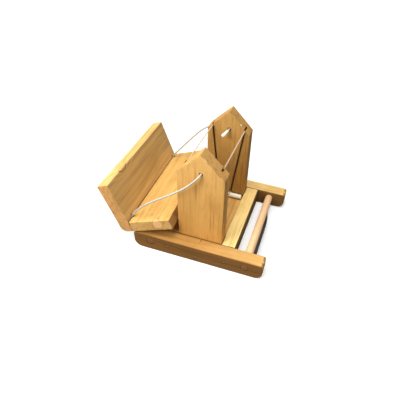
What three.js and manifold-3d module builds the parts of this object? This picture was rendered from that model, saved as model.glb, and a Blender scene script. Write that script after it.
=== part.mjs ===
// A small wooden hopper bird feeder, with its gable roof lifted off and laid on its left side.
//
// Two planks and two cross rails make the base. Two gables stand inside the planks, and a clear
// pane slides in slanted saw kerfs on each side, so that seed runs out over the floor between
// them. A perch crosses the base at each end. The roof is two boards nailed at a right angle. A
// cord runs from each gable through a hole in the roof's corner and along the ridge outside.
//
// Millimetres. X runs along the planks, Y across them and Z is up. The origin is on the
// underside, at the centre of the base.

import * as THREE from 'three';
import { mergeVertices } from 'three/addons/utils/BufferGeometryUtils.js';
import Module from 'manifold-3d';

// ---- Driving dimensions ----

const gap = 0.3; // between pieces that touch

const baseLength = 214;
const baseDepth = 196;
const plank = 22; // thickness of the planks and cross rails
const baseHeight = 30.5;
const plankTopRadius = 4;
const plankFootRadius = 13;

const houseWidth = 72;
const houseX = -2; // the house stands a little left of the base's centre
const gableThickness = 21.5;
const eaveHeight = 155;
const floorThickness = 21;

const paneThickness = 2;
const paneHeight = 132.2;
const paneFootOffset = 10.9; // from the house's centre plane, at the pane's lower edge
const paneLean = Math.atan( 0.124 );
const kerfDepth = 10;
const kerfWidth = 2.6;
const rodRadius = 4.3; // the rods that the panes stand on
const rodInset = 3;

const perchRadius = 6.5;
const perchX = 78.5;
const perchHeight = 18;
const bandRadius = 2.4;
const bandSideAngle = - 0.3; // lies beside the perch from the near plank to the middle
const bandUnderAngle = - 1.6; // lies below the perch at the far plank
const bandTurnStart = 0.45; // share of its length after which it passes under the perch

const seatWidth = 73.8; // inner width of the board that now lies lowest
const backWidth = 71.8; // inner width of the board that now stands up
const roofThickness = 19;
const roofLength = 208;
const ridgeRadius = 10;
const roofPosition = new THREE.Vector3( - 115, - 97.5, 47.2 ); // near end of the inner corner
const roofTilt = THREE.MathUtils.degToRad( 20 );
const roofTurn = THREE.MathUtils.degToRad( 3.4 ); // askew on the base
const roofHoles = [ 15.5, 195.8 ]; // along the ridge, from the near end

const cordRadius = 1.6;
const cordHoleRadius = 2.3;
const cordHoleX = - 1;
const cordHoleHeight = 159;

const nailRadius = 1.1;
const nailHeadRadius = 2.4;
const nailHeadHeight = 1;
const nailLength = 40;

// ---- Places worked out from them ----

const plankInnerY = baseDepth / 2 - plank;
const gableOuterY = plankInnerY - gap;
const gableInnerY = gableOuterY - gableThickness;
const houseLeft = houseX - houseWidth / 2;
const houseRight = houseX + houseWidth / 2;
const apexHeight = eaveHeight + houseWidth / 2; // 45 degree slopes
const rodHeight = floorThickness + gap + rodRadius;
const paneFootHeight = rodHeight + rodRadius + gap;
const crossRailX = {
	right: houseRight + gap + plank / 2,
	left: houseLeft - gap - plank / 2,
};

// ---- Materials ----

function finish( color, roughness, metalness = 0 ) {

	return new THREE.MeshStandardMaterial( { color, roughness, metalness } );

}

const pine = () => finish( 0xd9a868, 0.7 );
const palePine = () => finish( 0xf0cf90, 0.7 );
const dowelWood = () => finish( 0xeccb9c, 0.6 );
const whitePlastic = () => finish( 0xf6f0dc, 0.4 );
const cordNylon = () => finish( 0xc4bba8, 0.8 );
const blackRubber = () => finish( 0x2c2622, 0.7 );
const steel = () => finish( 0x9a948a, 0.45, 1 );

function clearAcrylic() {

	const material = finish( 0xe4ece8, 0.05 );
	material.transparent = true;
	material.opacity = 0.25;
	return material;

}

// ---- Solids ----

const wasm = await Module();
wasm.setup();

function toSolid( geometry ) {

	const bare = geometry.clone();
	bare.deleteAttribute( 'normal' );
	bare.deleteAttribute( 'uv' );
	const merged = mergeVertices( bare, 1e-4 );
	return new wasm.Manifold( new wasm.Mesh( {
		numProp: 3,
		vertProperties: new Float32Array( merged.attributes.position.array ),
		triVerts: new Uint32Array( merged.index.array ),
	} ) );

}

function cut( geometry, cutters ) {

	let solid = toSolid( geometry );
	for ( const cutter of cutters ) solid = solid.subtract( toSolid( cutter ) );
	const mesh = solid.getMesh();
	const result = new THREE.BufferGeometry();
	result.setAttribute( 'position', new THREE.BufferAttribute( mesh.vertProperties, 3 ) );
	result.setIndex( new THREE.BufferAttribute( mesh.triVerts, 1 ) );
	result.computeVertexNormals();
	return result;

}

// An axis-aligned block from its lowest to its highest corner.
function block( low, high ) {

	const size = high.map( ( value, axis ) => value - low[ axis ] );
	const centre = high.map( ( value, axis ) => ( value + low[ axis ] ) / 2 );
	return new THREE.BoxGeometry( ...size ).translate( ...centre );

}

// An outline drawn in X and Z, extruded along Y from y0 to y1.
function prism( shape, y0, y1, curveSegments = 5 ) {

	const geometry = new THREE.ExtrudeGeometry( shape, {
		depth: y1 - y0,
		bevelEnabled: false,
		curveSegments,
	} );
	return geometry.rotateX( Math.PI / 2 ).translate( 0, y1, 0 );

}

function alongY( radius, y0, y1, x, z, segments = 24 ) {

	const geometry = new THREE.CylinderGeometry( radius, radius, y1 - y0, segments );
	return geometry.translate( x, ( y0 + y1 ) / 2, z );

}

function tube( points, radius, steps, sides = 8 ) {

	const section = new THREE.Shape();
	section.absarc( 0, 0, radius, 0, 2 * Math.PI );
	const path = new THREE.CatmullRomCurve3( points, false, 'centripetal' );
	return new THREE.ExtrudeGeometry( section, {
		steps,
		curveSegments: sides / 2,
		extrudePath: path,
	} );

}

// ---- The object ----

const feeder = new THREE.Group();

function add( parent, name, geometry, material ) {

	const mesh = new THREE.Mesh( geometry, material );
	mesh.name = name;
	parent.add( mesh );
	return mesh;

}

// ---- Nails, driven towards +Y before they are turned ----

function nailGeometry( clearance ) {

	const shank = nailRadius + clearance;
	const head = nailHeadRadius + clearance;
	const top = - clearance;
	const profile = [
		new THREE.Vector2( 0, top ),
		new THREE.Vector2( head, top ),
		new THREE.Vector2( head, nailHeadHeight + clearance ),
		new THREE.Vector2( shank, nailHeadHeight + clearance ),
		new THREE.Vector2( shank, nailLength + clearance ),
		new THREE.Vector2( 0, nailLength + clearance ),
	];
	return new THREE.LatheGeometry( profile, 12 );

}

const frameNails = [
	{ into: 'house', x: houseX, z: 8.5 },
	{ into: 'right_rail', x: crossRailX.right, z: 16.5 },
	{ into: 'left_rail', x: crossRailX.left, z: 16.5 },
];

function frameNailHole( nail, side ) {

	const hole = nailGeometry( gap );
	if ( side > 0 ) hole.rotateZ( Math.PI );
	return hole.translate( nail.x, side * baseDepth / 2, nail.z );

}

// ---- Base: planks, cross rails, floor and perches ----

function plankOutline() {

	const half = baseLength / 2;
	const foot = plankFootRadius;
	const top = plankTopRadius;
	const outline = new THREE.Shape();
	outline.moveTo( foot - half, 0 );
	outline.absarc( half - foot, foot, foot, - Math.PI / 2, 0 );
	outline.absarc( half - top, baseHeight - top, top, 0, Math.PI / 2 );
	outline.absarc( top - half, baseHeight - top, top, Math.PI / 2, Math.PI );
	outline.absarc( foot - half, foot, foot, Math.PI, 1.5 * Math.PI );
	return outline;

}

for ( const [ place, side ] of [ [ 'near', - 1 ], [ 'far', 1 ] ] ) {

	const outer = baseDepth / 2;
	const low = side < 0 ? - outer : plankInnerY;
	const perchHoles = [ - perchX, perchX ].map( ( x ) => {

		return alongY( perchRadius + gap, low - 1, low + plank + 1, x, perchHeight );

	} );
	const nailHoles = frameNails.map( ( nail ) => frameNailHole( nail, side ) );
	const body = prism( plankOutline(), low, low + plank );
	add( feeder, `${ place }_plank`, cut( body, [ ...perchHoles, ...nailHoles ] ), pine() );

	for ( const nail of frameNails ) {

		const mesh = add( feeder, `${ place }_nail_${ nail.into }`, nailGeometry( 0 ), steel() );
		mesh.position.set( nail.x, side * outer, nail.z );
		if ( side > 0 ) mesh.rotation.z = Math.PI;

	}

}

for ( const side of [ 'left', 'right' ] ) {

	const x = crossRailX[ side ];
	const body = block(
		[ x - plank / 2, - gableOuterY, 0 ],
		[ x + plank / 2, gableOuterY, baseHeight ],
	);
	const nail = frameNails.find( ( entry ) => entry.into === `${ side }_rail` );
	const holes = [ frameNailHole( nail, - 1 ), frameNailHole( nail, 1 ) ];
	add( feeder, `${ side }_cross_rail`, cut( body, holes ), palePine() );

}

add( feeder, 'floor_board', block(
	[ houseLeft, gap - gableInnerY, 0 ],
	[ houseRight, gableInnerY - gap, floorThickness ],
), pine() );

for ( const [ name, x ] of [ [ 'left_perch', - perchX ], [ 'right_perch', perchX ] ] ) {

	add( feeder, name, alongY( perchRadius, - baseDepth / 2, baseDepth / 2, x, perchHeight ), dowelWood() );

}

// A black rubber cord lies against the right perch and passes under it towards the far plank.
function bandPoint( share ) {

	const reach = perchRadius + bandRadius + gap;
	const turned = THREE.MathUtils.smoothstep( share, bandTurnStart, 1 );
	const angle = THREE.MathUtils.lerp( bandSideAngle, bandUnderAngle, turned );
	return new THREE.Vector3(
		perchX + reach * Math.cos( angle ),
		THREE.MathUtils.lerp( gap - plankInnerY, plankInnerY - gap, share ),
		perchHeight + reach * Math.sin( angle ),
	);

}

const bandPoints = Array.from( { length: 13 }, ( _, step ) => bandPoint( step / 12 ) );
add( feeder, 'right_perch_band', tube( bandPoints, bandRadius, 20 ), blackRubber() );

// ---- House: gables with kerfs, panes and the rods under them ----

function gableOutline() {

	const outline = new THREE.Shape();
	outline.moveTo( houseLeft, 0 );
	outline.lineTo( houseRight, 0 );
	outline.lineTo( houseRight, eaveHeight );
	outline.lineTo( houseX, apexHeight );
	outline.lineTo( houseLeft, eaveHeight );
	return outline;

}

// A slab that stands on a pane's lower edge and leans out with it.
function leaning( slab, side ) {

	const foot = houseX + side * paneFootOffset;
	return slab.rotateY( side * paneLean ).translate( foot, 0, paneFootHeight );

}

for ( const [ place, side ] of [ [ 'near', - 1 ], [ 'far', 1 ] ] ) {

	const inner = side * gableInnerY;
	const outer = side * gableOuterY;
	const kerfEnd = side * ( gableInnerY + kerfDepth );
	const kerfRoom = [ inner - side, kerfEnd ].sort( ( a, b ) => a - b );
	const kerfs = [ - 1, 1 ].map( ( lean ) => leaning( block(
		[ - kerfWidth / 2, kerfRoom[ 0 ], - 4 ],
		[ kerfWidth / 2, kerfRoom[ 1 ], paneHeight + 40 ],
	), lean ) );
	const span = [ inner, outer ].sort( ( a, b ) => a - b );
	const cordHole = alongY( cordHoleRadius, span[ 0 ] - 1, span[ 1 ] + 1, cordHoleX, cordHoleHeight, 16 );
	const nailHole = frameNailHole( frameNails[ 0 ], side );
	const body = prism( gableOutline(), ...span );
	add( feeder, `${ place }_gable`, cut( body, [ ...kerfs, cordHole, nailHole ] ), pine() );

	const rodY = side * ( gableInnerY - gap - rodRadius );
	const rodLength = houseWidth - 2 * rodInset;
	const rod = new THREE.CylinderGeometry( rodRadius, rodRadius, rodLength, 20 ).rotateZ( Math.PI / 2 );
	const rodMesh = add( feeder, `${ place }_pane_rod`, rod, whitePlastic() );
	rodMesh.position.set( houseX, rodY, rodHeight );

}

for ( const [ name, side ] of [ [ 'left_pane', - 1 ], [ 'right_pane', 1 ] ] ) {

	const reach = gableInnerY + kerfDepth - 0.6;
	const slab = block(
		[ - paneThickness / 2, - reach, 0.2 ],
		[ paneThickness / 2, reach, paneHeight ],
	);
	add( feeder, name, leaning( slab, side ), clearAcrylic() );

}

// ---- Cord stops inside the gables: white tapered bells that hang a little to the left ----

const stopLength = 15.5;
const stopStartY = 50;
const stopClearance = 1.4; // its tilted top stays clear of the cord's end

function cordStopGeometry() {

	const profile = new THREE.Path();
	profile.moveTo( 0, stopClearance );
	profile.lineTo( 1.9, stopClearance );
	profile.lineTo( 3.1, stopLength - 3 );
	profile.quadraticCurveTo( 3.2, stopLength, 0, stopLength );
	return new THREE.LatheGeometry( profile.getPoints( 5 ), 12 );

}

for ( const [ place, side ] of [ [ 'near', - 1 ], [ 'far', 1 ] ] ) {

	const stop = add( feeder, `${ place }_cord_stop`, cordStopGeometry(), whitePlastic() );
	const direction = new THREE.Vector3( - 0.39, - 0.845 * side, - 0.365 ).normalize();
	stop.position.set( cordHoleX, side * stopStartY, cordHoleHeight );
	stop.quaternion.setFromUnitVectors( new THREE.Vector3( 0, 1, 0 ), direction );

}

// ---- Roof, in its own frame: X across the seat board, Y along the ridge, Z up the back board ----

const roofTilted = new THREE.Group();
roofTilted.position.copy( roofPosition );
roofTilted.rotation.y = - roofTilt;
feeder.add( roofTilted );

const roof = new THREE.Group();
roof.rotation.z = roofTurn;
roofTilted.add( roof );

// Cord holes leave the inner corner along the diagonal and come out at the rounded ridge.
const cornerHoles = roofHoles.map( ( y ) => {

	const hole = new THREE.CylinderGeometry( cordHoleRadius, cordHoleRadius, 44, 16 );
	return hole.translate( 0, - 14, 0 ).rotateZ( - Math.PI / 2 ).rotateY( - Math.PI / 4 ).translate( 0, y, 0 );

} );

const roofNailPlaces = [ 0.2, 0.5, 0.8 ].map( ( share ) => share * roofLength );

function turnedNail( geometry, y ) {

	return geometry.rotateZ( - Math.PI / 2 ).translate( - roofThickness, y, - roofThickness / 2 );

}

const roofNailHoles = roofNailPlaces.map( ( y ) => turnedNail( nailGeometry( gap ), y ) );

const backOutline = new THREE.Shape();
backOutline.moveTo( 0, backWidth );
backOutline.lineTo( - roofThickness, backWidth );
backOutline.absarc(
	ridgeRadius - roofThickness, ridgeRadius - roofThickness, ridgeRadius, Math.PI, 1.5 * Math.PI,
);
backOutline.lineTo( 0, - roofThickness );
const backBoard = prism( backOutline, 0, roofLength );
add( roof, 'roof_back_board', cut( backBoard, [ ...cornerHoles, ...roofNailHoles ] ), palePine() );

const seatBoard = block( [ gap, 0, - roofThickness ], [ seatWidth, roofLength, 0 ] );
add( roof, 'roof_seat_board', cut( seatBoard, [ ...cornerHoles, ...roofNailHoles ] ), palePine() );

roofNailPlaces.forEach( ( y, index ) => {

	add( roof, `roof_nail_${ index + 1 }`, turnedNail( nailGeometry( 0 ), y ), steel() );

} );

// The cord's run outside: out through one hole, along the ridge and back in through the other.
// Each place is its distance out along the corner's diagonal and its place along the ridge.
const cordBite = 0.8; // how far the run stands in from each hole's inner mouth

function ridgeRoute() {

	const [ near, far ] = roofHoles;
	const leaving = [
		[ - cordBite, 0 ],
		[ 8, 0 ],
		[ 16, 0 ],
		[ 22, 0 ],
		[ 25, 1 ],
		[ 26.4, 4.2 ],
		[ 26.3, 9 ],
		[ 25.6, 18 ],
		[ 25, 30 ],
	];
	const out = leaving.map( ( [ distance, along ] ) => [ distance, near + along ] );
	const back = leaving.map( ( [ distance, along ] ) => [ distance, far - along ] ).reverse();
	return [ ...out, [ 24.8, ( near + far ) / 2 ], ...back ].map( ( [ distance, y ] ) => {

		return new THREE.Vector3( - distance * Math.SQRT1_2, y, - distance * Math.SQRT1_2 );

	} );

}

add( roof, 'ridge_cord', tube( ridgeRoute(), cordRadius, 56 ), cordNylon() );

// ---- Free cord between each gable and the roof ----

const nearCordRoute = [
	[ - 1, - 50, 159 ],
	[ - 1, - 62, 159 ],
	[ - 1, - 72, 159 ],
	[ - 1, - 77.5, 159 ],
	[ - 2, - 81.5, 158 ],
	[ - 4.4, - 84, 155.3 ],
	[ - 8.6, - 85.1, 150.3 ],
	[ - 13.8, - 85.5, 144.4 ],
	[ - 20.8, - 85.8, 137.3 ],
	[ - 28.3, - 86, 130.4 ],
	[ - 36.2, - 86, 123.7 ],
	[ - 44.3, - 86, 117.2 ],
	[ - 60.8, - 86, 105 ],
	[ - 77.6, - 85.5, 91.8 ],
	[ - 88.4, - 85, 82.2 ],
	[ - 98.3, - 84.2, 71.6 ],
	[ - 103.4, - 83.5, 66.3 ],
	[ - 107.9, - 82.9, 60.6 ],
	[ - 111.9, - 82.3, 54.4 ],
	[ - 115.4, - 82, 47.9 ],
];

const farCordRoute = [
	[ - 1, 50, 159 ],
	[ - 1, 62, 159 ],
	[ - 1, 72, 159 ],
	[ - 1, 77.5, 159 ],
	[ - 2.6, 82, 158.8 ],
	[ - 7, 85, 157.6 ],
	[ - 16, 87.2, 153.8 ],
	[ - 28, 88, 147.6 ],
	[ - 40, 88.3, 140.6 ],
	[ - 52.6, 88.7, 132.2 ],
	[ - 65.3, 90, 120.6 ],
	[ - 79.8, 92, 103.6 ],
	[ - 94.9, 94, 84.6 ],
	[ - 110.7, 96, 64.7 ],
	[ - 115.3, 96.6, 58.9 ],
	[ - 119.3, 97.1, 53.7 ],
	[ - 122.7, 97.5, 48.9 ],
	[ - 125.4, 97.9, 44.2 ],
];

for ( const [ name, route ] of [ [ 'near_cord', nearCordRoute ], [ 'far_cord', farCordRoute ] ] ) {

	const points = route.map( ( place ) => new THREE.Vector3( ...place ) );
	add( feeder, name, tube( points, cordRadius, 26 ), cordNylon() );

}

export default feeder;
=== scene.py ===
"""A small wooden hopper bird feeder with its gable roof lifted off and laid beside the hopper.

Metres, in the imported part's frame: X along the base planks, Y across them, Z up.
"""

import math

import bmesh
import bpy
import numpy as np
from mathutils import Matrix, Vector


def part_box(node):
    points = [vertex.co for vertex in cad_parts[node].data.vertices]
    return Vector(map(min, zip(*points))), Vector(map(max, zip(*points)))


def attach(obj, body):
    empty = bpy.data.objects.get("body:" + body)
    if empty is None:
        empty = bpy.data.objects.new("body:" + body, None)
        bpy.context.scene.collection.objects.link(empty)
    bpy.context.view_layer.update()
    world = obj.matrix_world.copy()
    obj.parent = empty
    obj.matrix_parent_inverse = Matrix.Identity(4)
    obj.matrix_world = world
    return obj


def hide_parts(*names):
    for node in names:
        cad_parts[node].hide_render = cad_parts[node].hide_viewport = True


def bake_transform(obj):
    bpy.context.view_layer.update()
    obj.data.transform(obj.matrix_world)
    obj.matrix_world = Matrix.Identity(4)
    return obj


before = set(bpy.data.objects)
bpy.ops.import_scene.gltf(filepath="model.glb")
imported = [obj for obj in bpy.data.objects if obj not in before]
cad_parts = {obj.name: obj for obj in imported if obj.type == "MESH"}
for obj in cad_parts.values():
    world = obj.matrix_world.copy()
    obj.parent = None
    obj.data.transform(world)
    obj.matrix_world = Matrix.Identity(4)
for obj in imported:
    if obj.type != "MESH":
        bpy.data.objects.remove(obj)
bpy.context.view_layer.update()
scene = bpy.context.scene

# ---- Driving dimensions, repeated from the part ----

PLANK_TOP_RADIUS = 0.004
PLANK_FOOT_RADIUS = 0.013
EAVE_HEIGHT = 0.155
PERCH_RADIUS = 0.0065
PERCH_X = 0.0785
PERCH_HEIGHT = 0.018
HOUSE_X = -0.002

PANE_THICKNESS = 0.002
PANE_HEIGHT = 0.1322
PANE_FOOT_OFFSET = 0.0109
PANE_FOOT_HEIGHT = 0.0302
PANE_LEAN = math.atan(0.124)
KERF_WIDTH = 0.0026
KERF_DEPTH = 0.010

SEAT_WIDTH = 0.0738
BACK_WIDTH = 0.0718
ROOF_THICKNESS = 0.019
ROOF_LENGTH = 0.208
RIDGE_RADIUS = 0.010
ROOF_HOLES = (0.0155, 0.1958)
ROOF_FRAME = (
    Matrix.Translation((-0.115, -0.0975, 0.0472))
    @ Matrix.Rotation(math.radians(-20), 4, "Y")
    @ Matrix.Rotation(math.radians(3.4), 4, "Z")
)

CORD_DIAMETER = 0.0032
CORD_HOLE_RADIUS = 0.0023
CORD_HOLE_MOUTH = 0.0030
CORD_HOLE = (-0.001, 0.159)
STOP_START_Y = 0.050
STOP_LENGTH = 0.0155

NAIL_HEAD_RADIUS = 0.0024
NAIL_RADIUS = 0.0011
NAIL_LENGTH = 0.040
NAIL_RECESS = 0.0018
NAIL_CLEARANCE = 0.0003

EDGE_ROUNDING = 0.0009


# ---- Camera ----

def make_camera():
    """The camera stands to the right of the near plank and looks down on the feeder."""
    place = Vector((0.1371, -0.4446, 0.4639))
    target = Vector((0.0227, 0.0122, 0.07))
    roll = math.radians(4.49)
    data = bpy.data.cameras.new("camera")
    data.sensor_width = 36
    data.lens = 31.18
    data.shift_x = -0.0532
    data.shift_y = -0.0480
    data.clip_start = 0.01
    data.clip_end = 50
    camera = bpy.data.objects.new("camera", data)
    turn = (target - place).to_track_quat("-Z", "Y").to_matrix().to_4x4()
    camera.matrix_world = Matrix.Translation(place) @ turn @ Matrix.Rotation(roll, 4, "Z")
    scene.collection.objects.link(camera)
    scene.camera = camera


make_camera()


# ---- Node graphs ----

def tone(code):
    """An sRGB hex code as linear red, green, blue and alpha."""
    channels = [int(code[i:i + 2], 16) / 255 for i in (0, 2, 4)]
    return (*[c / 12.92 if c <= 0.04045 else ((c + 0.055) / 1.055) ** 2.4 for c in channels], 1.0)


class Graph:
    """A material's node tree, with short calls for the nodes used here."""

    def __init__(self, name):
        self.material = bpy.data.materials.new(name)
        self.material.use_nodes = True
        self.tree = self.material.node_tree
        self.tree.nodes.clear()

    def feed(self, socket, value):
        if isinstance(value, bpy.types.NodeSocket):
            self.tree.links.new(value, socket)
        else:
            socket.default_value = value

    def add(self, kind, inputs=(), **settings):
        node = self.tree.nodes.new(kind)
        for key, value in settings.items():
            setattr(node, key, value)
        for key, value in dict(inputs).items():
            self.feed(node.inputs[key], value)
        return node

    def attribute(self, name, output="Vector"):
        return self.add("ShaderNodeAttribute", attribute_name=name).outputs[output]

    def math(self, operation, a, b=0.0, c=0.0, clamp=False):
        inputs = {0: a, 1: b, 2: c}
        return self.add("ShaderNodeMath", inputs, operation=operation, use_clamp=clamp).outputs[0]

    def vector(self, operation, a, b=(0, 0, 0)):
        return self.add("ShaderNodeVectorMath", {0: a, 1: b}, operation=operation).outputs[0]

    def scale(self, vector, factor):
        node = self.add("ShaderNodeVectorMath", {0: vector, "Scale": factor}, operation="SCALE")
        return node.outputs[0]

    def length(self, vector):
        return self.add("ShaderNodeVectorMath", {0: vector}, operation="LENGTH").outputs["Value"]

    def split(self, vector):
        return self.add("ShaderNodeSeparateXYZ", {0: vector}).outputs

    def noise(self, vector, scale=1.0, detail=2.0, roughness=0.5, output="Fac"):
        inputs = {"Vector": vector, "Scale": scale, "Detail": detail, "Roughness": roughness}
        return self.add("ShaderNodeTexNoise", inputs).outputs[output]

    def ramp(self, factor, stops, interpolation="LINEAR"):
        """A smooth curve through (position, grey level) stops."""
        node = self.add("ShaderNodeValToRGB", {0: factor})
        ramp = node.color_ramp
        ramp.interpolation = interpolation
        while len(ramp.elements) < len(stops):
            ramp.elements.new(0.5)
        for element, (position, level) in zip(ramp.elements, stops):
            element.position = position
            element.color = (level, level, level, 1)
        return node.outputs[0]

    def mix(self, factor, a, b, blend="MIX"):
        node = self.add("ShaderNodeMix", data_type="RGBA", blend_type=blend)
        self.feed(node.inputs[0], factor)
        self.feed(node.inputs[6], a)
        self.feed(node.inputs[7], b)
        return node.outputs[2]

    def bump(self, height, strength, distance):
        inputs = {"Height": height, "Strength": strength, "Distance": distance}
        return self.add("ShaderNodeBump", inputs).outputs[0]

    def surface(self, **inputs):
        named = {key.replace("_", " "): value for key, value in inputs.items()}
        shader = self.add("ShaderNodeBsdfPrincipled", named)
        return self.output(shader.outputs[0])

    def output(self, shader):
        self.add("ShaderNodeOutputMaterial", {"Surface": shader})
        return self.material


# ---- Wood ----

def wood(
    name, pale, deep, heart, ring=0.003, contrast=0.55, seed=0.0, streak=0.35, knots=(), core="a8703f",
    rim=0.75, ends="c98f5a", dark_side=None, painted_light_ramp=0.0, weathering_and_shade=1.0,
):
    """Solid wood with growth rings round a heart line beside or inside the board.

    The "grain" attribute holds each point's place in the board: along the grain, across it and
    through the thickness. heart is the heart line's place across and through. Each knot is
    (along, across, through, radius, squeeze along the grain) and bends the rings round it. dark_side is
    (colour, axis, place, depth): the side where it lies along that axis of "grain" takes that darker
    colour; on the cross rails and roof boards this is painted shade on a side turned from the light.
    painted_light_ramp is how much paler the wood is painted towards its high end along the grain: painted
    light there and painted shade towards the low end. weathering_and_shade is how much it has greyed and
    streaked out of doors, and also how dark the painted shade is where pieces meet.
    """
    g = Graph(name)
    place = g.attribute("grain")
    edge = g.attribute("edge", "Fac")
    end = g.attribute("end", "Fac")
    seeded = g.vector("ADD", place, (seed, seed * 1.7, seed * 0.6))

    # The rings wander slowly along the board.
    slow = g.noise(g.vector("MULTIPLY", seeded, (5, 14, 14)), 1, 2, 0.5, "Color")
    wander = g.scale(g.vector("SUBTRACT", slow, (0.5, 0.5, 0.5)), 0.012)
    fast = g.noise(g.vector("MULTIPLY", seeded, (14, 90, 90)), 1, 2, 0.5, "Color")
    ripple = g.scale(g.vector("SUBTRACT", fast, (0.5, 0.5, 0.5)), 0.0016)
    moved = g.vector("ADD", g.vector("ADD", place, wander), ripple)
    flat = g.vector("MULTIPLY", g.vector("SUBTRACT", moved, (0, *heart)), (0.03, 1, 1))
    radius = g.length(flat)

    core_mask = 0.0
    rim_mask = 0.0
    for along, across, through, size, squeeze in knots:
        offset = g.vector("SUBTRACT", place, (along, across, through))
        offset = g.vector("MULTIPLY", offset, (squeeze, 1, 1))
        away = g.length(offset)
        near = g.math("DIVIDE", away, size)
        swell = g.math("POWER", 2.718, g.math("MULTIPLY", g.math("MULTIPLY", near, near), -0.35))
        radius = g.math("ADD", radius, g.math("MULTIPLY", swell, size * 1.5))
        wobble = g.math("ADD", near, g.math("MULTIPLY", g.noise(seeded, 240, 2), 0.35))
        core_mask = g.math("MAXIMUM", core_mask, g.ramp(wobble, [(0.80, 1), (1.0, 0)]))
        rim_mask = g.math("MAXIMUM", rim_mask, g.ramp(wobble, [(0.80, 0), (0.92, 1), (1.0, 1), (1.0, 0)]))

    phase = g.math("FRACT", g.math("DIVIDE", radius, ring))
    year = g.math("FLOOR", g.math("DIVIDE", radius, ring))
    late = g.ramp(phase, [(0.0, 0.08), (0.35, 0.12), (0.82, 0.9), (0.93, 1.0), (1.0, 0.08)])
    year_tone = g.noise(g.add("ShaderNodeCombineXYZ", {0: year, 1: seed}).outputs[0], 3.1, 0)
    late = g.math("MULTIPLY", late, g.math("ADD", 0.35, year_tone))

    fibre = g.noise(g.vector("MULTIPLY", seeded, (14, 380, 380)), 1, 3, 0.6)
    band = g.noise(g.vector("MULTIPLY", seeded, (4, 120, 120)), 1, 2, 0.6)
    broad = g.noise(g.vector("MULTIPLY", seeded, (8, 24, 24)), 1, 3, 0.5)
    pore = g.ramp(g.noise(g.vector("MULTIPLY", seeded, (50, 1300, 1300)), 1, 1), [(0.62, 0), (0.74, 1)])

    ring_depth = g.math("ADD", contrast, g.math("MULTIPLY", end, 0.10))
    mixed = g.math("MULTIPLY", late, ring_depth)
    mixed = g.math("ADD", mixed, g.math("MULTIPLY", g.math("SUBTRACT", fibre, 0.5), streak * 1.3))
    mixed = g.math("ADD", mixed, g.math("MULTIPLY", g.math("SUBTRACT", band, 0.5), streak * 1.5))
    mixed = g.math("ADD", mixed, g.math("MULTIPLY", g.math("SUBTRACT", broad, 0.46), 0.9), clamp=True)
    colour = g.mix(mixed, tone(pale), tone(deep))
    # Painted light: the wood is painted paler towards its high end along the grain, with painted shade left
    # towards its low end.
    if painted_light_ramp:
        share = g.math("ADD", 0.5, g.math("MULTIPLY", g.split(place)[0], 4.7), clamp=True)
        share = g.math("MULTIPLY", share, share)
        colour = g.mix(g.math("MULTIPLY", share, painted_light_ramp), colour, tone("f4c67c"))
    colour = g.mix(g.math("MULTIPLY", end, 0.6), colour, g.mix(mixed, tone(ends), tone("a06a35")))
    colour = g.mix(g.math("MULTIPLY", pore, 0.18), colour, tone("6b4423"), "MULTIPLY")

    # Weather has drawn grey-brown streaks along the grain and clouded the faces.
    drawn = g.ramp(g.noise(g.vector("MULTIPLY", seeded, (7, 210, 210)), 1, 3, 0.6), [(0.54, 0), (0.72, 1)])
    colour = g.mix(g.math("MULTIPLY", drawn, 0.50 * weathering_and_shade), colour, tone("b08c55"), "MULTIPLY")
    cloud = g.ramp(g.noise(g.vector("MULTIPLY", seeded, (22, 45, 45)), 1, 3, 0.6), [(0.46, 0), (0.70, 1)])
    colour = g.mix(g.math("MULTIPLY", cloud, 0.32 * weathering_and_shade), colour, tone("c2a870"), "MULTIPLY")
    # One side of the board is painted darker; on the cross rails and roof boards this is painted shade on a
    # side turned from the light.
    if dark_side:
        dark_tone, axis, side, depth = dark_side
        reach = g.math("ABSOLUTE", g.math("SUBTRACT", g.split(place)[axis], side))
        reach = g.math("ADD", reach, g.math("MULTIPLY", g.math("SUBTRACT", broad, 0.5), depth))
        dark = g.ramp(g.math("DIVIDE", reach, depth), [(0.35, 0.92), (1.0, 0)])
        colour = g.mix(dark, colour, g.mix(mixed, tone(dark_tone), tone("4f3518")))
    if knots:
        colour = g.mix(g.math("MULTIPLY", core_mask, 0.7), colour, tone(core))
        colour = g.mix(g.math("MULTIPLY", rim_mask, rim), colour, tone("5f3b1a"))

    # Handled edges are rubbed pale in places and grimy in others.
    rub = g.ramp(g.noise(place, 120, 3, 0.6), [(0.42, 0), (0.62, 1)])
    colour = g.mix(g.math("MULTIPLY", edge, g.math("MULTIPLY", rub, 0.30)), colour, tone("f3d9a4"))
    dirt = g.math("MULTIPLY", g.math("MULTIPLY", edge, g.math("SUBTRACT", 1.0, rub)), 0.6)
    colour = g.mix(dirt, colour, tone("8a6238"), "MULTIPLY")

    # Painted shade: an occlusion test darkens the wood where two pieces meet and in corners.
    open_sky = g.add("ShaderNodeAmbientOcclusion", {"Distance": 0.0035}, samples=6).outputs["AO"]
    corner_shade = g.math("MULTIPLY", g.ramp(open_sky, [(0.45, 1), (0.80, 0)]), 0.72 * weathering_and_shade)
    colour = g.mix(corner_shade, colour, tone("5d4426"), "MULTIPLY")

    height = g.math("ADD", g.math("MULTIPLY", late, 0.5), g.math("MULTIPLY", fibre, 0.7))
    height = g.math("SUBTRACT", height, g.math("MULTIPLY", pore, 0.5))
    rough = g.math("ADD", 0.50, g.math("MULTIPLY", band, 0.32))
    return g.surface(
        Base_Color=colour,
        Roughness=rough,
        Specular_IOR_Level=0.2,
        Normal=g.bump(height, 0.3, 0.0003),
    )


# ---- Other materials ----

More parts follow.
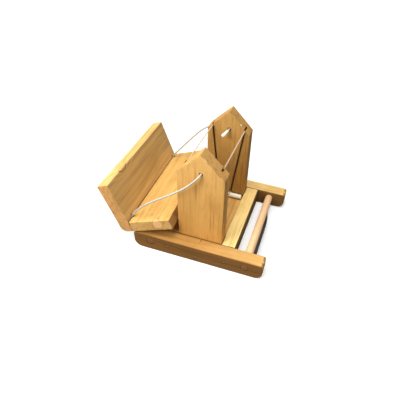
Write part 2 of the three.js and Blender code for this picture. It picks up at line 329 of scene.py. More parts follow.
def acrylic():
    """Clear sheet: it hardly tints what is seen through it, dims light, and mirrors at a slant."""
    g = Graph("clear_acrylic_sheet")
    place = g.attribute("grain")
    smear = g.noise(g.vector("MULTIPLY", place, (30, 60, 60)), 1, 3)
    slant = g.add("ShaderNodeLayerWeight", {"Blend": 0.16}).outputs["Fresnel"]
    inside = g.add("ShaderNodeNewGeometry").outputs["Backfacing"]
    mirror = g.math("MULTIPLY", g.math("MULTIPLY", slant, 0.35), g.math("SUBTRACT", 1.0, inside))
    shadow = g.add("ShaderNodeLightPath").outputs["Is Shadow Ray"]
    tint = g.mix(shadow, (0.955, 0.955, 0.945, 1), (0.86, 0.85, 0.82, 1))
    clear = g.add("ShaderNodeBsdfTransparent", {"Color": tint}).outputs[0]
    rough = g.math("ADD", 0.05, g.math("MULTIPLY", smear, 0.15))
    gloss = g.add("ShaderNodeBsdfGlossy", {"Roughness": rough}).outputs[0]
    mixed = g.add("ShaderNodeMixShader", {0: mirror, 1: clear, 2: gloss}).outputs[0]
    dust = g.add("ShaderNodeBsdfDiffuse", {"Color": (0.62, 0.50, 0.36, 1)}).outputs[0]
    speck = g.ramp(g.noise(place, 900, 2), [(0.50, 0.02), (0.75, 0.10)])
    return g.output(g.add("ShaderNodeMixShader", {0: speck, 1: mixed, 2: dust}).outputs[0])


def sawn_edge():
    """The sheet's sawn edges: frosted and milky."""
    g = Graph("acrylic_sawn_edge")
    place = g.attribute("grain")
    saw = g.noise(g.vector("MULTIPLY", place, (200, 2600, 200)), 1, 2)
    colour = g.mix(saw, tone("a98a70"), tone("d8bfa4"))
    return g.surface(
        Base_Color=colour,
        Roughness=0.45,
        Normal=g.bump(saw, 0.3, 0.0002),
    )


def moulded(name, colour, shade):
    """Cream plastic, a little uneven, with faint handling marks."""
    g = Graph(name)
    place = g.attribute("grain")
    cloud = g.noise(place, 90, 3)
    scuff = g.noise(g.vector("MULTIPLY", place, (60, 900, 900)), 1, 2)
    return g.surface(
        Base_Color=g.mix(cloud, tone(colour), tone(shade)),
        Roughness=g.math("ADD", 0.32, g.math("MULTIPLY", scuff, 0.25)),
        Subsurface_Weight=0.15,
        Subsurface_Radius=(0.004, 0.003, 0.002),
        Subsurface_Scale=0.5,
        Normal=g.bump(scuff, 0.12, 0.0002),
    )


def rubber():
    g = Graph("black_rubber_cord")
    place = g.attribute("grain")
    bloom = g.noise(place, 260, 3)
    return g.surface(
        Base_Color=g.mix(bloom, tone("1d1815"), tone("3a322b")),
        Roughness=g.math("ADD", 0.5, g.math("MULTIPLY", bloom, 0.25)),
        Normal=g.bump(g.noise(place, 900, 2), 0.2, 0.0002),
    )


def wire_steel():
    g = Graph("dull_steel")
    place = g.attribute("grain")
    rust = g.ramp(g.noise(place, 700, 3), [(0.5, 0), (0.72, 1)])
    return g.surface(
        Base_Color=g.mix(rust, tone("a3947a"), tone("74512e")),
        Metallic=g.math("SUBTRACT", 0.75, g.math("MULTIPLY", rust, 0.6)),
        Roughness=g.math("ADD", 0.34, g.math("MULTIPLY", rust, 0.4)),
        Normal=g.bump(g.noise(place, 2400, 2), 0.3, 0.0001),
    )


def twine():
    """Twisted synthetic cord: shiny filaments, with painted shade darkening the creases between the strands.
    """
    g = Graph("silver_cord")
    place = g.attribute("grain")
    groove = g.attribute("groove", "Fac")
    filament = g.noise(g.vector("MULTIPLY", place, (260, 2600, 2600)), 1, 2)
    colour = g.mix(filament, tone("a09c92"), tone("e2dfd6"))
    # Painted shade: the creases between the strands are darkened.
    colour = g.mix(g.math("MULTIPLY", groove, 0.6), colour, tone("79746a"))
    return g.surface(
        Base_Color=colour,
        Roughness=0.42,
        Sheen_Weight=0.3,
        Sheen_Roughness=0.4,
        Normal=g.bump(filament, 0.35, 0.0002),
    )


# ---- Mesh helpers ----

def new_object(name, bm):
    bmesh.ops.recalc_face_normals(bm, faces=bm.faces)
    mesh = bpy.data.meshes.new(name)
    bm.to_mesh(mesh)
    bm.free()
    obj = bpy.data.objects.new(name, mesh)
    scene.collection.objects.link(obj)
    return obj


def round_edges(bm, width, sharper_than=0.5, segments=3):
    """Rounds every edge whose faces meet at more than that angle."""
    edges = [e for e in bm.edges if len(e.link_faces) == 2 and e.calc_face_angle() > sharper_than]
    bmesh.ops.bevel(
        bm, geom=edges, offset=width, segments=segments, profile=0.5,
        affect="EDGES", clamp_overlap=True,
    )


def arc(centre, radius, start, end, steps=10):
    """Points of an arc between two angles in degrees, drawn in X and Z."""
    angles = [math.radians(start + (end - start) * i / steps) for i in range(steps + 1)]
    return [(centre[0] + radius * math.cos(a), centre[1] + radius * math.sin(a)) for a in angles]


def prism(name, outline, y0, y1, rounding=EDGE_ROUNDING, place=None):
    """An outline in X and Z, extruded along Y, with rounded edges."""
    bm = bmesh.new()
    face = bm.faces.new([bm.verts.new((x, y0, z)) for x, z in outline])
    moved = bmesh.ops.extrude_face_region(bm, geom=[face])["geom"]
    bmesh.ops.translate(
        bm, vec=(0, y1 - y0, 0), verts=[v for v in moved if isinstance(v, bmesh.types.BMVert)]
    )
    bmesh.ops.recalc_face_normals(bm, faces=bm.faces)
    if rounding:
        round_edges(bm, rounding)
    if place is not None:
        bm.transform(place)
    return new_object(name, bm)


def rectangle(x0, x1, z0, z1):
    return [(x0, z0), (x1, z0), (x1, z1), (x0, z1)]


def block(name, low, high, rounding=EDGE_ROUNDING, place=None):
    return prism(name, rectangle(low[0], high[0], low[2], high[2]), low[1], high[1], rounding, place)


def lathe(name, profile, place, sides=48):
    """A profile of (radius, height) points turned about local Y, from one end of the axis to the other."""
    bm = bmesh.new()
    rings = []
    for radius, height in profile:
        if radius == 0:
            rings.append([bm.verts.new((0, height, 0))])
            continue
        turns = [2 * math.pi * i / sides for i in range(sides)]
        rings.append([bm.verts.new((radius * math.cos(a), height, radius * math.sin(a))) for a in turns])
    for lower, upper in zip(rings, rings[1:]):
        for i in range(sides):
            j = (i + 1) % sides
            corners = [lower[k % len(lower)] for k in (i, j)] + [upper[k % len(upper)] for k in (j, i)]
            bm.faces.new(list(dict.fromkeys(corners)))
    bm.transform(place)
    return new_object(name, bm)


def rod_cutter(radius, start, end, sides=40):
    """A round cutter between two points."""
    start, end = Vector(start), Vector(end)
    turn = Vector((0, 1, 0)).rotation_difference(end - start).to_matrix().to_4x4()
    length = (end - start).length
    profile = [(0, 0), (radius, 0), (radius, length), (0, length)]
    return lathe("cutter", profile, Matrix.Translation(start) @ turn, sides)


def carve(obj, cutters):
    """Cuts the cutters out of obj and removes them. The cut faces take the second material slot."""
    obj.data.materials.append(UNCUT)
    obj.data.materials.append(SHADED_CUT_WOOD)
    for cutter in cutters:
        cutter.data.materials.append(SHADED_CUT_WOOD)
        modifier = obj.modifiers.new("cut", "BOOLEAN")
        modifier.operation = "DIFFERENCE"
        modifier.solver = "EXACT"
        modifier.material_mode = "TRANSFER"
        modifier.object = cutter
    bpy.context.view_layer.update()
    graph = bpy.context.evaluated_depsgraph_get()
    mesh = bpy.data.meshes.new_from_object(obj.evaluated_get(graph))
    obj.modifiers.clear()
    obj.data = mesh
    for cutter in cutters:
        bpy.data.objects.remove(cutter)
    cut = [slot == SHADED_CUT_WOOD for slot in mesh.materials]
    indices = [int(cut[p.material_index]) for p in mesh.polygons]
    mesh.materials.clear()
    mesh.polygons.foreach_set("material_index", indices)
    return obj


def mark_edges(mesh):
    """Gives the attribute "edge" 1 on the rounding between broad faces, and 0 on those faces."""
    area = np.zeros(len(mesh.polygons))
    mesh.polygons.foreach_get("area", area)
    broad = np.zeros(len(mesh.vertices), bool)
    for polygon in mesh.polygons:
        if area[polygon.index] > 2.5e-5:
            broad[list(polygon.vertices)] = True
    values = np.where(broad, 0.0, 1.0).astype(np.float32)
    mesh.attributes.new("edge", "FLOAT", "POINT").data.foreach_set("value", values)


def mark_grain(mesh, centre, along, across):
    """Gives "grain", each point's place along, across and through, and "end", 1 on end grain."""
    along = Vector(along).normalized()
    across = Vector(across).normalized()
    through = along.cross(across)
    axes = np.array([along, across, through], float)
    co = np.zeros(len(mesh.vertices) * 3)
    mesh.vertices.foreach_get("co", co)
    local = (co.reshape(-1, 3) - np.array(centre, float)) @ axes.T
    mesh.attributes.new("grain", "FLOAT_VECTOR", "POINT").data.foreach_set(
        "vector", local.astype(np.float32).ravel()
    )
    ends = [min(1.0, max(0.0, abs(p.normal.dot(along)) * 1.6 - 0.6)) for p in mesh.polygons]
    mesh.attributes.new("end", "FLOAT", "FACE").data.foreach_set("value", ends)


def smooth(obj, angle=40):
    """Smooth shading with flat faces kept flat."""
    obj.data.polygons.foreach_set("use_smooth", [True] * len(obj.data.polygons))
    obj.data.set_sharp_from_angle(angle=math.radians(angle))
    weighted = obj.modifiers.new("weighted", "WEIGHTED_NORMAL")
    weighted.keep_sharp = True


def settle(obj, node, body, slot, materials, along=(1, 0, 0), across=(0, 1, 0)):
    """Names what a finished piece stands for, what it rides on and what it is made of."""
    low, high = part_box(node)
    mark_grain(obj.data, (low + high) / 2, along, across)
    if slot in ("pine", "pale_pine"):
        mark_edges(obj.data)
    for material in materials:
        obj.data.materials.append(material)
    obj.name = f"{node}_detail"
    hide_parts(node)
    if body:
        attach(obj, body)
    return obj


# ---- Cords: the free strands between the gables and the roof, and the run along the ridge ----

NEAR_CORD_ROUTE = [
    (-0.0010, -0.0500, 0.1590),
    (-0.0010, -0.0620, 0.1590),
    (-0.0010, -0.0720, 0.1590),
    (-0.0010, -0.0775, 0.1590),
    (-0.0020, -0.0815, 0.1580),
    (-0.0044, -0.0840, 0.1553),
    (-0.0086, -0.0851, 0.1503),
    (-0.0138, -0.0855, 0.1444),
    (-0.0208, -0.0858, 0.1373),
    (-0.0283, -0.0860, 0.1304),
    (-0.0362, -0.0860, 0.1237),
    (-0.0443, -0.0860, 0.1172),
    (-0.0608, -0.0860, 0.1050),
    (-0.0776, -0.0855, 0.0918),
    (-0.0884, -0.0850, 0.0822),
    (-0.0983, -0.0842, 0.0716),
    (-0.1034, -0.0835, 0.0663),
    (-0.1079, -0.0829, 0.0606),
    (-0.1119, -0.0823, 0.0544),
    (-0.1154, -0.0820, 0.0479),
]

FAR_CORD_ROUTE = [
    (-0.0010, 0.0500, 0.1590),
    (-0.0010, 0.0620, 0.1590),
    (-0.0010, 0.0720, 0.1590),
    (-0.0010, 0.0775, 0.1590),
    (-0.0026, 0.0820, 0.1588),
    (-0.0070, 0.0850, 0.1576),
    (-0.0160, 0.0872, 0.1538),
    (-0.0280, 0.0880, 0.1476),
    (-0.0400, 0.0883, 0.1406),
    (-0.0526, 0.0887, 0.1322),
    (-0.0653, 0.0900, 0.1206),
    (-0.0798, 0.0920, 0.1036),
    (-0.0949, 0.0940, 0.0846),
    (-0.1107, 0.0960, 0.0647),
    (-0.1153, 0.0966, 0.0589),
    (-0.1193, 0.0971, 0.0537),
    (-0.1227, 0.0975, 0.0489),
    (-0.1254, 0.0979, 0.0442),
]

# Out along the corner's diagonal, and along the ridge from the hole.
RIDGE_LEAVING = [
    (-0.0008, 0.0),
    (0.0080, 0.0),
    (0.0160, 0.0),
    (0.0220, 0.0),
    (0.0250, 0.0010),
    (0.0264, 0.0042),
    (0.0263, 0.0090),
    (0.0256, 0.0180),
    (0.0250, 0.0300),
]


def ridge_route():
    near, far = ROOF_HOLES
    out = [(distance, near + along) for distance, along in RIDGE_LEAVING]
    back = [(distance, far - along) for distance, along in reversed(RIDGE_LEAVING)]
    middle = [(0.0248, (near + far) / 2)]
    diagonal = math.sqrt(0.5)
    return [ROOF_FRAME @ Vector((-d * diagonal, y, -d * diagonal)) for d, y in out + middle + back]


def centripetal(route, step=0.0007):
    """Points along a smooth curve through the route's points, as the part's tube follows them."""
    points = [Vector(p) for p in route]
    points = [2 * points[0] - points[1], *points, 2 * points[-1] - points[-2]]
    path = []
    for a, b, c, d in zip(points, points[1:], points[2:], points[3:]):
        t1 = (b - a).length ** 0.5
        t2 = t1 + (c - b).length ** 0.5
        t3 = t2 + (d - c).length ** 0.5
        count = max(2, round((c - b).length / step))
        for i in range(count):
            t = t1 + (t2 - t1) * i / count
            ab = a.lerp(b, t / t1)
            bc = b.lerp(c, (t - t1) / (t2 - t1))
            cd = c.lerp(d, (t - t2) / (t3 - t2))
            abc = ab.lerp(bc, t / t2)
            bcd = bc.lerp(cd, (t - t1) / (t3 - t1))
            path.append(abc.lerp(bcd, (t - t1) / (t2 - t1)))
    return [*path, points[-2]]


def sweep(name, path, radius_at, sides=18):
    """A closed tube along a path. radius_at gives the radius and groove depth at (distance, angle)."""
    bm = bmesh.new()
    tangent = (path[1] - path[0]).normalized()
    side = tangent.orthogonal().normalized()
    rings, grooves, places = [], [], []
    travelled = 0.0
    for index, point in enumerate(path):
        if index:
            travelled += (point - path[index - 1]).length
        ahead = path[min(index + 1, len(path) - 1)] - path[max(index - 1, 0)]
        turn = tangent.rotation_difference(ahead.normalized())
        tangent = ahead.normalized()
        side = (turn @ side).normalized()
        up = tangent.cross(side)
        ring = []
        for k in range(sides):
            angle = 2 * math.pi * k / sides
            radius, groove = radius_at(travelled, angle)
            ring.append(bm.verts.new(point + radius * (math.cos(angle) * side + math.sin(angle) * up)))
            grooves.append(groove)
            places.append((travelled, radius * math.cos(angle), radius * math.sin(angle)))
        rings.append(ring)
    for lower, upper in zip(rings, rings[1:]):
        for k in range(sides):
            j = (k + 1) % sides
            bm.faces.new([lower[k], lower[j], upper[j], upper[k]])
    bm.faces.new(list(reversed(rings[0])))
    bm.faces.new(rings[-1])
    obj = new_object(name, bm)
    mesh = obj.data
    mesh.polygons.foreach_set("use_smooth", [True] * len(mesh.polygons))
    mesh.attributes.new("groove", "FLOAT", "POINT").data.foreach_set("value", grooves)
    mesh.attributes.new("grain", "FLOAT_VECTOR", "POINT").data.foreach_set(
        "vector", np.array(places, np.float32).ravel()
    )
    return obj


def strand_section(travelled, angle):
    """Three twisted strands: the radius dips where two of them meet."""
    pitch = 0.0085
    lobe = abs(math.cos(1.5 * (angle - 2 * math.pi * travelled / pitch)))
    return CORD_DIAMETER / 2 * (0.80 + 0.20 * lobe ** 0.7), (1 - lobe) ** 2


CORD = twine()


def free_cord(node, route):
    path = centripetal(route)
    piece = sweep(f"{node}_detail", path, strand_section)
    piece.data.materials.append(CORD)
    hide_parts(node)
    # The bend ends short of the roof's hole, so the cord clears the seat board with the roof closed.
    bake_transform(piece)


free_cord("near_cord", NEAR_CORD_ROUTE)
free_cord("far_cord", FAR_CORD_ROUTE)

ridge_piece = sweep("ridge_cord_detail", centripetal(ridge_route()), strand_section)
ridge_piece.data.materials.append(CORD)
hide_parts("ridge_cord")
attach(ridge_piece, "roof")


# ---- Base ----

UNCUT = bpy.data.materials.new("uncut")
# Faces cut by holes, kerfs, cracks and nail recesses take this dark wood: painted shade inside the recesses.
SHADED_CUT_WOOD = wood(
    "cut_wood_painted_shade", "6f4a26", "3c2611", heart=(0.05, 0.05), ring=0.003, contrast=0.4, seed=51.3, ends="5b3b1d",
)


def nail_hole(x, z, side):
    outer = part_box("near_plank")[0].y if side < 0 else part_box("far_plank")[1].y
    start = (x, outer + side * 0.002, z)
    end = (x, outer - side * NAIL_RECESS, z)
    return rod_cutter(NAIL_HEAD_RADIUS + NAIL_CLEARANCE, start, end, 24)


def plank(place, side, material):
    node = f"{place}_plank"
    low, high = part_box(node)
    top, foot = PLANK_TOP_RADIUS, PLANK_FOOT_RADIUS
    outline = [
        *arc((high.x - foot, low.z + foot), foot, -90, 0, 14),
        *arc((high.x - top, high.z - top), top, 0, 90, 8),
        *arc((low.x + top, high.z - top), top, 90, 180, 8),
        *arc((low.x + foot, low.z + foot), foot, 180, 270, 14),
    ]
    piece = prism(node, outline, low.y, high.y, 0.0013)
    cutters = [
        rod_cutter(PERCH_RADIUS + 0.0002, (x, low.y - 0.01, PERCH_HEIGHT), (x, high.y + 0.01, PERCH_HEIGHT))
        for x in (-PERCH_X, PERCH_X)
    ]
    for name in ("house", "right_rail", "left_rail"):
        nail_low, nail_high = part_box(f"{place}_nail_{name}")
        centre = (nail_low + nail_high) / 2
        cutters.append(nail_hole(centre.x, centre.z, side))
    if side < 0:
        cutters.append(block("split", (0.0008, -0.0850, 0.0290), (0.0013, -0.0757, 0.0310), 0))
    carve(piece, cutters)
    smooth(piece)
    settle(piece, node, "feeder", "pine", [material, SHADED_CUT_WOOD], (1, 0, 0), (0, 0, 1))


# The near plank's tones, darker than the far plank's and paler towards its right end, are its own colour
# with painted shade where the roof and house shade its top and painted light on its right end.
plank("near", -1, wood(
    "near_plank_wood", "ac8040", "7d4f22", heart=(-0.060, -0.012), ring=0.0060, contrast=0.4, seed=3.1,
    streak=0.85, dark_side=("80572a", 2, 0.011, 0.0012), ends="a37a44", painted_light_ramp=0.65,
))
plank("far", 1, wood(
    "far_plank_wood", "efc880", "bb863f", heart=(-0.040, -0.010), ring=0.0036, contrast=0.35, seed=8.4,
    dark_side=("9a7038", 2, 0.011, 0.0015), ends="9c7640",
))

# The left rail's darker tones are painted shade, as it stands in shade. Both rails are painted darker on
# their right sides, shade on faces turned from the light, and paler towards their far ends, painted light.
CROSS_RAIL_TONES_WITH_SHADE = {
    "left": ("a97f4a", "7c5528", 5.2),
    "right": ("fcdc92", "e2b264", 6.7),
}
for side_name, (pale, deep, seed) in CROSS_RAIL_TONES_WITH_SHADE.items():
    node = f"{side_name}_cross_rail"
    piece = block(node, *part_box(node))
    smooth(piece)
    material = wood(
        f"{node}_wood", pale, deep, heart=(0.03, -0.05), ring=0.0045, contrast=0.25, seed=seed,
        dark_side=("7f6437", 1, 0.011, 0.0010), painted_light_ramp=0.3,
    )
    settle(piece, node, "feeder", "pale_pine", [material], (0, 1, 0), (1, 0, 0))

piece = block("floor_board", *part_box("floor_board"))
smooth(piece)
settle(
    piece, "floor_board", "feeder", "pine",
    [wood("floor_wood", "d8aa65", "a9743a", heart=(0.01, -0.06), ring=0.0038, contrast=0.5, seed=12.3)],
    (0, 1, 0), (1, 0, 0),
)

for side_name, seed, end_tone in (("left", 15.5, "83563a"), ("right", 17.9, "8c6437")):
    node = f"{side_name}_perch"
    low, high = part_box(node)
    middle = (low + high) / 2
    chamfer = 0.0006
    profile = [
        (0, 0),
        (PERCH_RADIUS - 2 * chamfer, 0),
        (PERCH_RADIUS - chamfer / 2, chamfer / 2),
        (PERCH_RADIUS, 2 * chamfer),
        (PERCH_RADIUS, high.y - low.y - 2 * chamfer),
        (PERCH_RADIUS - chamfer / 2, high.y - low.y - chamfer / 2),
        (PERCH_RADIUS - 2 * chamfer, high.y - low.y),
        (0, high.y - low.y),
    ]
    piece = lathe(node, profile, Matrix.Translation((middle.x, low.y, middle.z)), 64)
    for polygon in piece.data.polygons:
        polygon.material_index = int(abs(polygon.normal.y) > 0.3)
    smooth(piece)
    material = wood(
        f"{node}_wood", "f7cd9e", "d9a571", heart=(0.004, -0.03), ring=0.0018, contrast=0.35,
        seed=seed, streak=0.3, weathering_and_shade=0.25,
    )
    end_material = wood(
        f"{node}_end_wood", end_tone, "6e4222", heart=(0.002, 0.003), ring=0.0012, contrast=0.5,
        seed=seed, ends=end_tone,
    )
    settle(piece, node, "feeder", "dowel_wood", [material, end_material], (0, 1, 0), (1, 0, 0))


def band_path():
    """The black cord lies against the right perch and passes under it towards the far plank."""
    low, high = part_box("right_perch_band")
    radius = 0.0024
    reach = PERCH_RADIUS + radius + 0.0003
    steps = 160
    turn_start = 0.45
    path = []
    for i in range(steps + 1):
        share = i / steps
        turned = max(0.0, (share - turn_start) / (1 - turn_start))
        angle = -0.3 - 1.3 * turned * turned * (3 - 2 * turned)
        path.append(Vector((
            PERCH_X + reach * math.cos(angle),
            low.y + (high.y - low.y) * share,
            PERCH_HEIGHT + reach * math.sin(angle),
        )))
    return path


piece = sweep("right_perch_band_detail", band_path(), lambda travelled, angle: (0.0024, 0.0), 24)
piece.data.materials.append(rubber())
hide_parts("right_perch_band")
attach(piece, "feeder")

# ---- Nails ----

STEEL = wire_steel()


def nail(node, body, place):
    """A round wire nail with a slightly domed flat head, driven towards local +Y."""
    head = NAIL_HEAD_RADIUS
    profile = [
        (0, 0.00005),
        (head * 0.5, 0.00008),
        (head * 0.85, 0.00018),
        (head, 0.0005),
        (head, 0.0008),
        (NAIL_RADIUS * 1.4, 0.0012),
        (NAIL_RADIUS, 0.0018),
        (NAIL_RADIUS, NAIL_LENGTH - 0.003),
        (0, NAIL_LENGTH - 0.0001),
    ]
    piece = lathe(node, profile, place, 28)
    smooth(piece, 50)
    settle(piece, node, body, "steel", [STEEL])


for place_name, side in (("near", -1), ("far", 1)):
    for name in ("house", "right_rail", "left_rail"):
        node = f"{place_name}_nail_{name}"
        low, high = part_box(node)
        centre = (low + high) / 2
        start = low.y if side < 0 else high.y
        turn = Matrix.Rotation(0 if side < 0 else math.pi, 4, "Z")
        nail(node, "feeder", Matrix.Translation((centre.x, start, centre.z)) @ turn)

ROOF_NAIL_PLACES = [share * ROOF_LENGTH for share in (0.2, 0.5, 0.8)]
for index, y in enumerate(ROOF_NAIL_PLACES, 1):
    head = Matrix.Translation((-ROOF_THICKNESS, y, -ROOF_THICKNESS / 2))
    nail(f"roof_nail_{index}", "roof", ROOF_FRAME @ head @ Matrix.Rotation(-math.pi / 2, 4, "Z"))

# ---- House: gables, panes, rods and cord stops ----

def leaning(side):
    """The frame of a pane's lower edge, with Z up along the pane."""
    foot = Matrix.Translation((HOUSE_X + side * PANE_FOOT_OFFSET, 0, PANE_FOOT_HEIGHT))
    return foot @ Matrix.Rotation(side * PANE_LEAN, 4, "Y")


def gable(place, side, material):
    node = f"{place}_gable"
    low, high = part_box(node)
    middle = (low.x + high.x) / 2
    outline = [
        (low.x, low.z),
        (high.x, low.z),
        (high.x, EAVE_HEIGHT),
        (middle, high.z),
        (low.x, EAVE_HEIGHT),
    ]
    piece = prism(node, outline, low.y, high.y)
    inner = high.y if side < 0 else low.y
    y0, y1 = sorted((inner - side * 0.001, inner + side * KERF_DEPTH))
    cutters = [
        block(
            "kerf", (-KERF_WIDTH / 2, y0, -0.004), (KERF_WIDTH / 2, y1, PANE_HEIGHT + 0.04), 0,
            leaning(lean),
        )
        for lean in (-1, 1)
    ]
    x, z = CORD_HOLE
    cutters.append(rod_cutter(CORD_HOLE_RADIUS, (x, low.y - 0.005, z), (x, high.y + 0.005, z), 32))
    for y in (low.y, high.y):
        cutters.append(rod_cutter(CORD_HOLE_MOUTH, (x, y - 0.0012, z), (x, y + 0.0012, z), 28))
    carve(piece, cutters)
    smooth(piece)
    settle(piece, node, "feeder", "pine", [material, SHADED_CUT_WOOD], (0, 0, 1), (1, 0, 0))


# The near gable is painted paler towards its top: painted light there and painted shade towards its foot.
gable("near", -1, wood(
    "near_gable_wood", "dca355", "9f692a", heart=(-0.150, 0.045), ring=0.0027, contrast=0.22, seed=21.7,
    streak=0.3, ends="a47a42", painted_light_ramp=0.75,
))
# The far gable's tones are painted darker than the near gable's: painted shade, for it stands inside the
# hopper in the near gable's shade. It is also painted paler towards its top.
gable("far", 1, wood(
    "far_gable_wood", "b58540", "825524", heart=(-0.160, -0.065), ring=0.0032, contrast=0.25, seed=26.2,
    streak=0.4, knots=[(0.076, 0.0205, -0.0107, 0.0036, 0.8)], core="ffe6ac", rim=0.9, ends="c39350",
    painted_light_ramp=0.45,
))

ACRYLIC = acrylic()
SAWN = sawn_edge()


def pane(node, side):
    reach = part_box(node)[1].y
    piece = block(
        node, (-PANE_THICKNESS / 2, -reach, 0.0002), (PANE_THICKNESS / 2, reach, PANE_HEIGHT),
        0.00025, leaning(side),
    )
    gable_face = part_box("far_gable")[0].y
    bm = bmesh.new()
    bm.from_mesh(piece.data)
    for y in (-gable_face, gable_face):
        whole = [*bm.verts, *bm.edges, *bm.faces]
        bmesh.ops.bisect_plane(bm, geom=whole, plane_co=(0, y, 0), plane_no=(0, 1, 0))
    bm.to_mesh(piece.data)
    bm.free()
    normal = leaning(side).to_3x3() @ Vector((1, 0, 0))
    # The sawn edges that sit inside the kerfs take the dark cut wood: painted shade in the slots.
    for polygon in piece.data.polygons:
        if abs(polygon.normal.dot(normal)) > 0.95:
            polygon.material_index = 0
        else:
            polygon.material_index = 1 if abs(polygon.center.y) < gable_face else 2
    smooth(piece)
    settle(piece, node, node, "clear_acrylic", [ACRYLIC, SAWN, SHADED_CUT_WOOD], (0, 0, 1), (0, 1, 0))


pane("left_pane", -1)
pane("right_pane", 1)

CREAM = moulded("cream_plastic", "fffdf0", "faf5d8")

for place_name in ("near", "far"):
    node = f"{place_name}_pane_rod"
    low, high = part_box(node)
    radius = (high.z - low.z) / 2
    length = high.x - low.x
    profile = [
        (0, 0),
        (radius - 0.0010, 0),
        (radius - 0.0002, 0.0003),
        (radius, 0.0010),
        (radius, length - 0.0060),
        (radius - 0.0006, length - 0.0056),
        (radius - 0.0006, length - 0.0050),
        (radius - 0.0002, length - 0.0046),
        (radius - 0.0002, length - 0.0010),
        (radius - 0.0010, length),
        (0, length),
    ]
    middle = (low + high) / 2
    turn = Matrix.Rotation(-math.pi / 2, 4, "Z")
    piece = lathe(node, profile, Matrix.Translation((low.x, middle.y, middle.z)) @ turn, 40)
    smooth(piece)
    settle(piece, node, "feeder", "white_plastic", [CREAM])

for place_name, side in (("near", -1), ("far", 1)):
    node = f"{place_name}_cord_stop"
    direction = Vector((-0.39, -0.845 * side, -0.365)).normalized()
    turn = Vector((0, 1, 0)).rotation_difference(direction).to_matrix().to_4x4()
    start = Vector((CORD_HOLE[0], side * STOP_START_Y, CORD_HOLE[1]))
    profile = [
        (0, 0.0014),
        (0.0015, 0.0014),
        (0.0019, 0.0018),
        (0.0022, 0.0050),
        (0.0027, 0.0090),
        (0.0031, 0.0122),
        (0.0030, 0.0138),
        (0.0023, 0.0149),
        (0.0012, 0.0154),
        (0, STOP_LENGTH),
    ]
    piece = lathe(node, profile, Matrix.Translation(start) @ turn, 32)
    smooth(piece, 60)
    settle(piece, node, "feeder", "white_plastic", [CREAM])

# ---- Roof ----

def roof_piece(piece, node, material):
    cutters = []
    if node == "roof_seat_board":
        crack_end = (0.0024, ROOF_HOLES[0], 0.001)
        cutters.append(block("crack", (-0.001, -0.001, -0.0050), crack_end, 0, ROOF_FRAME))
    for y in ROOF_HOLES:
        start = ROOF_FRAME @ Vector((0.006, y, 0.006))
        end = ROOF_FRAME @ Vector((-0.026, y, -0.026))
        cutters.append(rod_cutter(CORD_HOLE_RADIUS, start, end, 32))
        mouth = ROOF_FRAME @ Vector((-0.0022, y, -0.0022))
        cutters.append(rod_cutter(CORD_HOLE_MOUTH, start, mouth, 28))
    for y in ROOF_NAIL_PLACES:
        start = ROOF_FRAME @ Vector((-ROOF_THICKNESS - 0.002, y, -ROOF_THICKNESS / 2))
        end = ROOF_FRAME @ Vector((-ROOF_THICKNESS + NAIL_RECESS, y, -ROOF_THICKNESS / 2))
        cutters.append(rod_cutter(NAIL_HEAD_RADIUS + NAIL_CLEARANCE, start, end, 24))
    carve(piece, cutters)
    smooth(piece)
    turn = ROOF_FRAME.to_3x3()
    along = turn @ Vector((0, 1, 0))
    across = turn @ (Vector((0, 0, 1)) if node == "roof_back_board" else Vector((1, 0, 0)))
    settle(piece, node, "roof", "pale_pine", [material, SHADED_CUT_WOOD], along, across)


back_outline = [
    (0, BACK_WIDTH),
    (-ROOF_THICKNESS, BACK_WIDTH),
    *arc((RIDGE_RADIUS - ROOF_THICKNESS, RIDGE_RADIUS - ROOF_THICKNESS), RIDGE_RADIUS, 180, 270, 12),
    (0, -ROOF_THICKNESS),
]
# The back board's inner face is painted darker: painted shade on a face turned from the light.
roof_piece(
    prism("roof_back_board", back_outline, 0, ROOF_LENGTH, 0.0012, ROOF_FRAME),
    "roof_back_board",
    wood(
        "back_board_wood", "e6c07a", "b08244", heart=(0.01, 0.065), ring=0.0060, contrast=0.32, seed=31.4,
        streak=0.45, knots=[(-0.055, 0.0455, 0.0105, 0.0085, 0.55)], core="d9a860", rim=0.7, ends="d4965c",
        dark_side=("d8b070", 2, 0.0095, 0.0011),
    ),
)
# The seat board's free edge is painted darker: painted shade where the gable shades it.
roof_piece(
    prism(
        "roof_seat_board", rectangle(0.0003, SEAT_WIDTH, -ROOF_THICKNESS, 0), 0, ROOF_LENGTH, 0.0012,
        ROOF_FRAME,
    ),
    "roof_seat_board",
    wood(
        "seat_board_wood", "e3b86d", "bb8440", heart=(-0.005, -0.012), ring=0.0044, contrast=0.3, seed=37.9,
        streak=0.3, knots=[(-0.104, 0.0140, -0.002, 0.0118, 0.72), (-0.088, -0.002, -0.0185, 0.0115, 0.8)],
        core="f2bd84", rim=0.32, ends="cfa062", dark_side=("b48a52", 1, 0.0368, 0.0012),
    ),
)

# ---- Stage and light ----

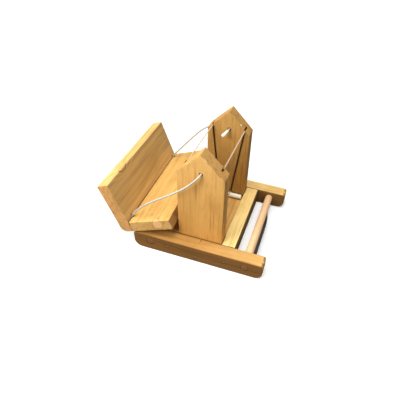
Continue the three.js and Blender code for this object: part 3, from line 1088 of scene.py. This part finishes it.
def make_floor():
    """A pale floor that throws less light back up than it shows, like paper under a dark table."""
    g = Graph("studio_floor")
    place = g.add("ShaderNodeTexCoord").outputs["Object"]
    cloud = g.noise(place, 3, 2)
    shown = g.mix(cloud, (0.74, 0.74, 0.74, 1), (0.78, 0.78, 0.78, 1))
    direct = g.add("ShaderNodeLightPath").outputs["Is Camera Ray"]
    colour = g.mix(direct, (0.16, 0.15, 0.13, 1), shown)
    glow = g.math("MULTIPLY", direct, 0.28)
    material = g.surface(
        Base_Color=colour, Roughness=0.9, Emission_Color=(1, 1, 1, 1), Emission_Strength=glow,
    )
    bm = bmesh.new()
    bmesh.ops.create_grid(bm, x_segments=1, y_segments=1, size=12)
    floor = new_object("studio_floor", bm)
    floor.location.z = -0.0002
    floor.data.materials.append(material)


def make_lights():
    world = bpy.data.worlds.new("studio")
    world.use_nodes = True
    background = world.node_tree.nodes["Background"]
    background.inputs["Color"].default_value = (0.99, 1.0, 0.985, 1)
    scene.world = world
    tree = world.node_tree
    direct = tree.nodes.new("ShaderNodeLightPath").outputs["Is Camera Ray"]
    strength = tree.nodes.new("ShaderNodeMapRange")
    strength.inputs["To Min"].default_value = 0.31
    strength.inputs["To Max"].default_value = 1.0
    tree.links.new(direct, strength.inputs["Value"])
    tree.links.new(strength.outputs[0], background.inputs["Strength"])
    suns = [
        ("above", (0.04, -0.12, 0.98), 0.71, 30),
        ("left", (-0.85, -0.20, 0.48), 0.42, 40),
    ]
    for name, towards, radiance, spread in suns:
        light = bpy.data.lights.new(name, "SUN")
        light.energy = radiance * math.pi
        light.angle = math.radians(spread)
        place_light(light, (0, 0, 1), towards)
    front = bpy.data.lights.new("front", "AREA")
    front.shape = "DISK"
    front.size = 0.40
    front.energy = 5.2
    place_light(front, (-0.30, -0.58, 0.62), (-0.30, -0.58, 0.52))


def place_light(light, place, towards):
    """Puts a light at place, shining from that direction."""
    light.color = (1.0, 0.98, 0.94)
    lamp = bpy.data.objects.new(light.name, light)
    lamp.location = place
    lamp.rotation_euler = Vector(towards).to_track_quat("Z", "Y").to_euler()
    scene.collection.objects.link(lamp)


make_floor()
make_lights()
scene.view_settings.view_transform = "Standard"
